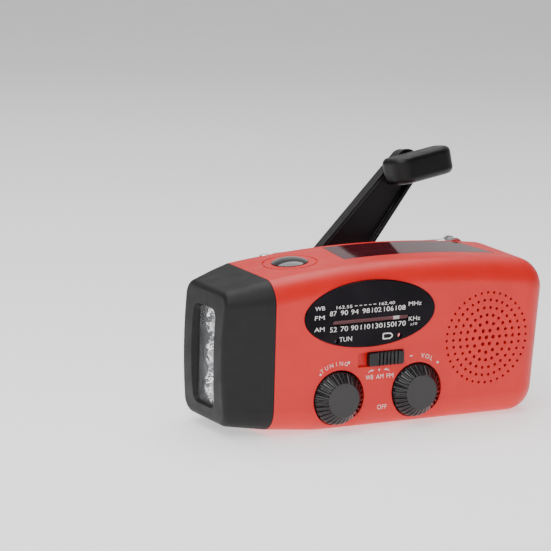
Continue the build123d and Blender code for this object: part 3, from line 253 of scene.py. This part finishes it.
def dial_material():
    """Gloss lens printed black inside, clear over the scale's slot and the two indicator lamps."""
    made = Shading("dial_lens_print")
    x, _, z = made.parts()
    near = made.maths("MAXIMUM", made.maths("SUBTRACT", SLOT_FROM_X + SLOT_HALF, x), 0.0)
    far = made.maths("MAXIMUM", made.maths("SUBTRACT", x, SLOT_TO_X - SLOT_HALF), 0.0)
    out = made.maths("ADD", near, far)
    up = made.maths("SUBTRACT", z, SLOT_Z)
    clear = made.maths("LESS_THAN", made.length(out, up), SLOT_HALF)
    for lamp_x, lamp_z in INDICATORS:
        away_x = made.maths("SUBTRACT", x, lamp_x)
        away_z = made.maths("SUBTRACT", z, lamp_z)
        inside = made.maths("LESS_THAN", made.length(away_x, away_z), INDICATOR_HOLE_R)
        clear = made.maths("MAXIMUM", clear, inside)
    ink = made.blend(made.spread(made.noise(0.01), 0, 1), rgb(0.004, 0.003, 0.005), rgb(0.012, 0.009, 0.013))
    made.link(ink, "Base Color")
    made.link(made.spread(made.noise(0.012, 4.0), 0.03, 0.09), "Roughness")
    made.link(made.maths("SUBTRACT", 1.0, made.maths("MULTIPLY", clear, 0.85)), "Alpha")
    made.link(made.bump(made.noise(0.02), 0.05, 0.00002), "Normal")
    made.set(IOR=1.49, Specular_IOR_Level=0.08)
    return made


paint(dial_material(), "dial_lens")

# painted light: the strip behind the lens glows (emission) to stand in for the light that hardly reaches it
# inside the shell
plate = moulded("dial_strip_painted_glow", rgb(0.34, 0.13, 0.14), 0.5, grain=0.0003, tone=0.1, wear=0.0,
                Emission_Color=rgb(0.34, 0.15, 0.16), Emission_Strength=0.55)
paint(plate, "dial_plate")
# painted light: the pointer behind the lens also glows (emission), standing in for the light that hardly
# reaches it
pointer = moulded("pointer_white_painted_glow", rgb(0.9, 0.82, 0.82), 0.4, grain=0.0003, tone=0.03, wear=0.0,
                  Emission_Color=rgb(0.95, 0.88, 0.88), Emission_Strength=0.8)
paint(pointer, "dial_pointer")


def indicator_material():
    """One lamp is a pale grey, the other pink-red."""
    made = Shading("indicator_lamps")
    x, _, _ = made.parts()
    second = made.maths("GREATER_THAN", x, mm(-10))
    tone = made.blend(second, rgb(0.16, 0.16, 0.2), rgb(0.98, 0.2, 0.24))
    made.link(made.blend(made.spread(made.noise(0.0008), 0, 0.25), tone, rgb(0.9, 0.8, 0.8)), "Base Color")
    made.link(made.maths("ADD", made.maths("MULTIPLY", second, 1.6), 0.25), "Emission Strength")
    made.link(tone, "Emission Color")
    made.link(made.spread(made.noise(0.001), 0.15, 0.3), "Roughness")
    return made


paint(indicator_material(), "indicator_leds")


def solar_material():
    """Gloss window over dark cells with fine collector lines."""
    made = Shading("solar_window")
    x, y, _ = made.parts()
    line = None
    for axis, pitch, width in ((x, mm(1.9), mm(0.07)), (y, mm(10.4), mm(0.22))):
        step = made.maths("ABSOLUTE", made.maths("PINGPONG", axis, pitch))
        now = made.maths("LESS_THAN", step, width)
        line = now if line is None else made.maths("MAXIMUM", line, now)
    cell = made.blend(made.spread(made.noise(0.006), 0, 1), rgb(0.05, 0.006, 0.01), rgb(0.08, 0.01, 0.014))
    made.link(made.blend(made.maths("MULTIPLY", line, 0.35), cell, rgb(0.2, 0.08, 0.09)), "Base Color")
    made.link(made.spread(made.noise(0.015, 4.0), 0.05, 0.11), "Roughness")
    normal, _ = made.rounded(0.0002)
    made.link(made.bump(made.noise(0.02), 0.06, 0.00003, normal), "Normal")
    made.set(IOR=1.5, Specular_IOR_Level=0.2)
    return made


paint(solar_material(), "solar_window")
cells = brushed("solar_cells", rgb(0.02, 0.02, 0.06), 0.25, (1, 20, 1))
paint(cells, "solar_cell")

clear_lens = Shading("lamp_lens_clear")
haze = clear_lens.noise(0.006, 4.0)
lens_tint = clear_lens.blend(clear_lens.spread(haze, 0, 1), rgb(0.85, 0.87, 0.9), rgb(1, 1, 1))
clear_lens.link(lens_tint, "Base Color")
clear_lens.link(clear_lens.spread(haze, 0.02, 0.08), "Roughness")
clear_lens.link(clear_lens.spread(haze, 0.03, 0.07), "Alpha")
clear_lens.set(IOR=1.5)
paint(clear_lens, "lamp_lens")

mirror = Shading("reflector_chrome")
ripple = mirror.noise(0.0022, 2.0)
mirror_tint = mirror.blend(mirror.spread(ripple, 0, 1), rgb(0.78, 0.79, 0.8), rgb(0.97, 0.97, 0.98))
mirror.link(mirror_tint, "Base Color")
mirror.link(mirror.spread(mirror.noise(0.003), 0.03, 0.1), "Roughness")
mirror.link(mirror.bump(ripple, 0.6, 0.0005), "Normal")
mirror.set(Metallic=1.0)
paint(mirror, "lamp_reflector")

led = Shading("led_dome")
glow = led.noise(0.0015)
led.link(led.blend(led.spread(glow, 0, 1), rgb(0.7, 0.72, 0.68), rgb(0.92, 0.92, 0.86)), "Base Color")
led.link(led.spread(glow, 0.05, 0.15), "Roughness")
led.set(Coat_Weight=0.5)
paint(led, "lamp_leds")

chrome = brushed("antenna_chrome", rgb(0.86, 0.86, 0.88), 0.1, (0.05, 1, 1))
paint(chrome, "antenna_section_1", "antenna_section_2", "antenna_section_3", "antenna_section_4",
      "antenna_section_5", "antenna_tip")
steel = brushed("drawn_steel", rgb(0.6, 0.6, 0.61), 0.25, (1, 0.1, 1))
paint(steel, "antenna_bracket", "antenna_pin", "case_screws", "small_screws", "crank_shaft", "retaining_ring",
      "hinge_pin", "grip_pin", "idler_shaft", "tuning_shaft", "volume_shaft", "speaker_basket",
      "speaker_magnet", "generator_housing", "generator_rotor", "usb_output_socket", "usb_charge_socket")
nylon = moulded("gear_nylon", rgb(0.78, 0.75, 0.66), 0.45, tone=0.05, wear=0.1)
paint(nylon, "crank_gear", "idler_gear", "gear_plate")
brass = brushed("pinion_brass", rgb(0.75, 0.55, 0.25), 0.25, (1, 0.1, 1))
paint(brass, "rotor_pinion")
copper = brushed("coil_copper", rgb(0.65, 0.24, 0.1), 0.35, (1, 12, 1))
paint(copper, "generator_coil", "ferrite_coil")
board = moulded("board_green", rgb(0.02, 0.17, 0.07), 0.4, grain=0.0012, tone=0.2, wear=0.1)
paint(board, "main_board", "port_board", "lamp_board")
paper = moulded("cone_paper", rgb(0.02, 0.014, 0.014), 0.8, grain=0.0006, depth=0.00004, tone=0.2, wear=0.0)
paint(paper, "speaker_cone")
ferrite = moulded("ferrite_grey", rgb(0.05, 0.05, 0.055), 0.6, grain=0.0008, tone=0.15, wear=0.3)
paint(ferrite, "ferrite_rod")
wrap = moulded("cell_wrap", rgb(0.05, 0.16, 0.36), 0.35, grain=0.002, tone=0.1, wear=0.1)
paint(wrap, "battery_cell")


def ink_material(name, colour, glow=0.0):
    """Printing ink, with a little light of its own if glow is given."""
    made = moulded(name, colour, 0.5, grain=0.0002, depth=0.000003, tone=0.03, edge=0.00002, wear=0.0)
    if glow:
        made.set(Emission_Color=colour, Emission_Strength=glow)
    return made.material


# ---------------------------------------------------------------- printed marks
def glyphs(text, width=None, height=None):
    """The outline of a text as triangles in a unit plane, its lower left corner at 0, 0."""
    curve = bpy.data.curves.new("glyphs", "FONT")
    curve.body = text
    curve.resolution_u = 3
    curve.offset = -0.003
    holder = bpy.data.objects.new("glyphs", curve)
    bpy.context.scene.collection.objects.link(holder)
    bpy.context.view_layer.update()
    mesh = bpy.data.meshes.new_from_object(holder)
    bpy.data.objects.remove(holder)
    places = [vertex.co.copy() for vertex in mesh.vertices]
    faces = [tuple(face.vertices) for face in mesh.polygons]
    low = Vector((min(p.x for p in places), min(p.y for p in places)))
    high = Vector((max(p.x for p in places), max(p.y for p in places)))
    tall = height / (high.y - low.y)
    wide = width / (high.x - low.x) if width else tall
    flat = [((p.x - low.x) * wide, (p.y - low.y) * tall) for p in places]
    return flat, faces, (high.x - low.x) * wide


def printed(name, marks, y, material, body="radio"):
    """One thin piece of print on the front, from marks of (points, faces) in X and Z."""
    made = bmesh.new()
    for points, faces in marks:
        corners = [made.verts.new((x, y, z)) for x, z in points]
        for face in faces:
            try:
                made.faces.new([corners[index] for index in face])
            except ValueError:
                continue
    for face in made.faces:
        face.normal_update()
        if face.normal.y > 0:
            face.normal_flip()
    mesh = bpy.data.meshes.new(name)
    made.to_mesh(mesh)
    made.free()
    mesh.materials.append(material)
    piece = bpy.data.objects.new(name, mesh)
    bpy.context.scene.collection.objects.link(piece)
    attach(piece, body)
    return piece


def word(text, left, base, height, right=None):
    """A word from left to right in mm, standing on base."""
    points, faces, _ = glyphs(text, mm(right - left) if right is not None else None, mm(height))
    return [(x + mm(left), z + mm(base)) for x, z in points], faces


def arc_word(text, centre, radius, start, end, height):
    """Letters standing around a circle, from the start to the end angle in degrees."""
    marks = []
    for index, letter in enumerate(text):
        angle = math.radians(start + (end - start) * index / (len(text) - 1))
        points, faces, width = glyphs(letter, None, mm(height))
        tilt = angle - math.pi / 2
        foot = (mm(centre[0]) + mm(radius) * math.cos(angle), mm(centre[1]) + mm(radius) * math.sin(angle))
        turned = []
        for x, z in points:
            across, up = x - width / 2, z
            turned.append((foot[0] + across * math.cos(tilt) - up * math.sin(tilt),
                           foot[1] + across * math.sin(tilt) + up * math.cos(tilt)))
        marks.append((turned, faces))
    return marks


SPOT_CORNERS = 16


def spot(x, z, radius):
    """A round dot of print."""
    turns = [math.tau * k / SPOT_CORNERS for k in range(SPOT_CORNERS)]
    points = [(mm(x) + mm(radius) * math.cos(turn), mm(z) + mm(radius) * math.sin(turn)) for turn in turns]
    return points, [tuple(range(SPOT_CORNERS))]


def stroke(ends, width):
    """A line of print through points in mm."""
    points, faces = [], []
    for (x0, z0), (x1, z1) in zip(ends, ends[1:]):
        length = math.hypot(x1 - x0, z1 - z0)
        side = (-(z1 - z0) / length * width / 2, (x1 - x0) / length * width / 2)
        first = len(points)
        for x, z, sign in ((x0, z0, 1), (x0, z0, -1), (x1, z1, -1), (x1, z1, 1)):
            points.append(mm(x + sign * side[0], z + sign * side[1]))
        faces.append((first, first + 1, first + 2, first + 3))
    return points, faces


def filled(corners):
    """A solid shape of print from its corners in mm."""
    return [mm(x, z) for x, z in corners], [tuple(range(len(corners)))]


FM_ROW = [("87", -26.6, -23.9), ("90", -22.2, -19.3), ("94", -18, -15), ("98", -13.4, -10.4),
          ("102", -9.5, -5.7), ("106", -4.6, -0.7), ("108", 0.2, 4.2)]
AM_ROW = [("52", -26.4, -23.6), ("70", -22.1, -19.1), ("90", -17.9, -15), ("110", -13.9, -10.1),
          ("130", -9.2, -5), ("150", -4.3, -0.2), ("170", 0.3, 4.5)]
dial_marks = [word(text, left, 43.0, 1.75, right) for text, left, right in FM_ROW]
dial_marks += [word(text, left, 37.15, 1.8, right) for text, left, right in AM_ROW]
dial_marks += [word("WB", -32.6, 45.4, 1.45, -28.6), word("FM", -32.6, 42.0, 1.5, -28.7),
               word("AM", -32.7, 37.75, 1.6, -28.6), word("TUN", -22.5, 33.35, 1.7, -17.4),
               word("MHz", 5.5, 44.25, 1.5, 10.8), word("KHz", 5.7, 38.75, 1.55, 10.4),
               word("x10", 6.4, 37.0, 1.0, 9.2), word("162.55", -24.0, 45.4, 1.1, -17.6),
               word("162.40", -6.6, 45.4, 1.1, -0.2)]
dial_marks += [stroke([(x, 46.0), (x + 1.1, 46.0)], 0.22) for x in (-16.6, -14.7, -12.8, -10.9, -9.0)]
dial_marks += [stroke([(-4.6, 33.0), (-4.6, 34.9), (-1.9, 34.9), (-0.9, 34.3), (-0.9, 33.6), (-1.9, 33.0),
                       (-4.75, 33.0)], 0.42)]
white = ink_material("dial_white", rgb(0.86, 0.86, 0.84), 0.12)
printed("dial_print", dial_marks, LENS_FACE_Y - PRINT_LIFT, white)

front_marks = arc_word("TUNING", (-21.8, 12.7), 11.9, 124, 78, 1.45)
front_marks += [spot(-29.5, 22.0, 0.42), spot(-18.1, 25.4, 0.42), spot(18.5, 22.4, 0.42)]
front_marks += arc_word("VOL", (10.0, 12.9), 11.9, 80, 62, 1.6)
front_marks += [stroke([(6.9, 25.6), (8.0, 25.75)], 0.3)]
front_marks += [word("OFF", -6.0, 7.15, 1.65, -2.1), word("WB", -11.1, 18.45, 1.65, -8.0),
                word("AM", -6.8, 18.45, 1.65, -3.8), word("FM", -2.5, 18.4, 1.65, 0.3)]
front_marks += [stroke([(-9.9, 21.0), (-9.5, 21.55), (-8.8, 21.7)], 0.28),
                filled([(-8.9, 22.1), (-8.9, 21.25), (-7.6, 21.7)]),
                filled([(-6.1, 22.0), (-5.1, 22.0), (-5.6, 21.1)]),
                filled([(-2.5, 22.1), (-2.5, 21.25), (-3.8, 21.7)]),
                stroke([(-2.6, 21.7), (-1.9, 21.55), (-1.5, 21.0)], 0.28)]
pale = ink_material("shell_print", rgb(0.93, 0.82, 0.80))
printed("front_print", front_marks, FRONT_Y - PRINT_LIFT, pale)


# ---------------------------------------------------------------- studio
def sweep(name, material):
    """A seamless paper: floor that turns up into a backdrop."""
    profile = [(-1.6, 0.0), (0.9, 0.0)]
    profile += [(0.9 + 0.5 * math.sin(math.radians(a)), 0.5 - 0.5 * math.cos(math.radians(a)))
                for a in range(6, 91, 6)]
    profile += [(1.4, 2.4)]
    turn = Matrix.Rotation(-AZIMUTH, 4, "Z")
    corners, faces = [], []
    for y, z in profile:
        for x in (-2.2, 2.2):
            corners.append(turn @ Vector((x, y, z)))
    for k in range(len(profile) - 1):
        faces.append((2 * k, 2 * k + 1, 2 * k + 3, 2 * k + 2))
    mesh = bpy.data.meshes.new(name)
    mesh.from_pydata(corners, [], faces)
    for face in mesh.polygons:
        face.use_smooth = True
    mesh.materials.append(material)
    piece = bpy.data.objects.new(name, mesh)
    bpy.context.scene.collection.objects.link(piece)


paper_white = moulded("studio_paper", rgb(0.86, 0.855, 0.86), 0.6, grain=0.002, depth=0.00001, tone=0.01,
                      wear=0.0, Emission_Color=rgb(1.0, 0.99, 0.985))
paper_x, paper_y, _ = paper_white.parts()
distance = paper_white.maths("ADD", paper_white.maths("MULTIPLY", paper_x, math.sin(AZIMUTH)),
                             paper_white.maths("MULTIPLY", paper_y, math.cos(AZIMUTH)))
# the paper glows most near the camera, so that the floor is brighter than the backdrop
paper_white.link(paper_white.spread(distance, 0.8, 0.12, -0.1, 0.75), "Emission Strength")
sweep("studio_sweep", paper_white.material)


def lamp(name, place, target, size, energy):
    """A soft rectangular light at a place, facing the target."""
    data = bpy.data.lights.new(name, "AREA")
    data.shape = "RECTANGLE"
    data.size, data.size_y = size
    data.energy = energy
    light = bpy.data.objects.new(name, data)
    bpy.context.scene.collection.objects.link(light)
    facing = (Vector(place) - Vector(target)).to_track_quat("Z", "Y").to_matrix().to_4x4()
    light.matrix_world = Matrix.Translation(place) @ facing


middle = (0.0, 0.0, 0.03)
lamp("key_light", (-0.55, -0.45, 0.75), middle, (0.7, 0.7), 6.5)
lamp("top_light", (0.05, 0.25, 0.95), middle, (1.0, 0.8), 9.0)
lamp("front_fill", (-0.3, -1.2, 0.35), middle, (0.6, 0.6), 0.6)

world = bpy.data.worlds.new("studio_air")
bpy.context.scene.world = world
world.use_nodes = True
world.node_tree.nodes["Background"].inputs["Color"].default_value = rgb(0.9, 0.92, 1.0)
world.node_tree.nodes["Background"].inputs["Strength"].default_value = 0.12

ELEVATION, ROLL, DISTANCE = math.radians(12.0), math.radians(1.5), 1.5
back = Vector((-math.sin(AZIMUTH) * math.cos(ELEVATION), -math.cos(AZIMUTH) * math.cos(ELEVATION),
               math.sin(ELEVATION)))
right = Vector((math.cos(AZIMUTH), -math.sin(AZIMUTH), 0))
up = back.cross(right)
aim = Vector((0, 0, 0.03)) - right * 0.03206 + up * 0.01987
camera_data = bpy.data.cameras.new("camera")
camera_data.lens, camera_data.sensor_width = 271.0, 36.0
camera = bpy.data.objects.new("camera", camera_data)
bpy.context.scene.collection.objects.link(camera)
turn = Matrix((right, up, back)).transposed().to_4x4() @ Matrix.Rotation(ROLL, 4, "Z")
camera.matrix_world = Matrix.Translation(aim + back * DISTANCE) @ turn
bpy.context.scene.camera = camera
